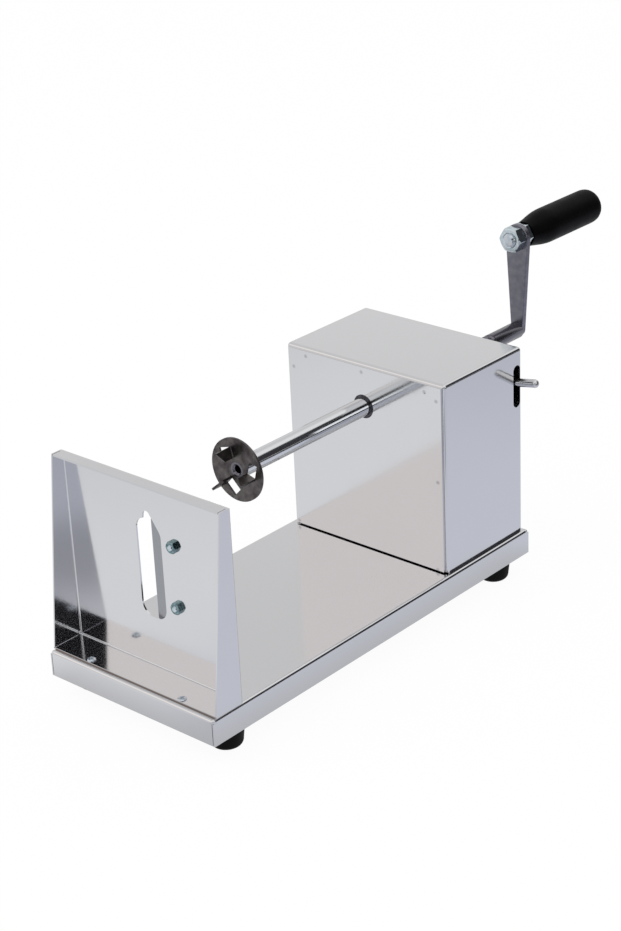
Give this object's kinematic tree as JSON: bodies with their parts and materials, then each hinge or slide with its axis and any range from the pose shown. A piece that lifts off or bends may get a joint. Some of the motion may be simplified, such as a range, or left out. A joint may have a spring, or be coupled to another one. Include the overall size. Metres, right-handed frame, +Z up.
{
  "type": "tornado potato cutter",
  "caption": "Hand cranked spiral potato cutter: sheet steel base, slotted blade stand, screw housing, spindle with pronged disc, crank grip and side release rod.",
  "frame": {"origin": "on the table, under the middle of the overall length and width", "axes": "+X along the spindle from the blade to the crank, +Z up, +Y to the left when the user at the crank looks back along +X from the blade end"},
  "size_m": [0.484, 0.1537, 0.2152],
  "materials": {
    "polished_stainless": "mirror polished stainless sheet",
    "dull_stainless": "unpolished stainless sheet",
    "ground_blade_steel": "ground",
    "chromed_steel": "bright",
    "plain_steel": "satin",
    "zinc_plated_steel": "zinc plated",
    "spring_wire": "drawn",
    "sintered_bush": "sintered, oiled",
    "brass": "machined",
    "black_rubber": "matt",
    "black_plastic": "satin moulded"
  },
  "bodies": {
    "frame": {"base_tray": "polished_stainless", "foot_front_left": "black_rubber", "foot_front_right": "black_rubber", "foot_rear_left": "black_rubber", "foot_rear_right": "black_rubber", "foot_studs": "zinc_plated_steel", "foot_nuts": "zinc_plated_steel", "blade_stand": "polished_stainless", "blade": "ground_blade_steel", "blade_bolts": "zinc_plated_steel", "blade_nuts": "zinc_plated_steel", "stand_screws": "zinc_plated_steel", "stand_nuts": "zinc_plated_steel", "housing_cover": "polished_stainless", "housing_front_panel": "polished_stainless", "housing_rear_panel": "polished_stainless", "housing_screws": "zinc_plated_steel", "housing_nuts": "zinc_plated_steel", "front_bush": "black_plastic", "rear_bush": "sintered_bush", "pivot_bolt": "zinc_plated_steel", "pivot_nut": "zinc_plated_steel", "spring_post": "zinc_plated_steel", "return_spring": "spring_wire"},
    "spindle": {"spindle_tube": "chromed_steel"},
    "crank": {"feed_screw": "plain_steel", "holding_disc": "dull_stainless", "crank_arm": "plain_steel", "grip_bolt": "zinc_plated_steel", "grip_nut_front": "zinc_plated_steel", "grip_nut_rear": "zinc_plated_steel"},
    "grip": {"grip": "black_plastic"},
    "lever": {"release_lever": "plain_steel", "half_nut": "brass", "half_nut_screws": "zinc_plated_steel", "release_rod": "chromed_steel", "rod_lock_nut": "zinc_plated_steel"}
  },
  "joints": [
    {"name": "spindle_feed", "type": "slide", "parent": "frame", "child": "spindle", "axis": [1, 0, 0], "range_m": [-0.0611, 0.0641]},
    {"name": "crank_turn", "type": "hinge", "parent": "spindle", "child": "crank", "pos_m": [0, 0.00675, 0.1345], "axis": [1, 0, 0], "range_deg": [-4392, 4608]},
    {"name": "grip_spin", "type": "hinge", "parent": "crank", "child": "grip", "pos_m": [0, 0.00675, 0.2027], "axis": [1, 0, 0], "continuous": true},
    {"name": "lever_release", "type": "hinge", "parent": "frame", "child": "lever", "pos_m": [0.06205, 0.05175, 0.1185], "axis": [1, 0, 0], "range_deg": [0, 7], "stiffness_Nm_per_rad": 0.6, "springref_deg": -14.32, "deforming": ["return_spring"]}
  ],
  "couplings": [
    {"joint": "spindle_feed", "follows": "crank_turn", "m_per_rad": 0.00079577}
  ]
}
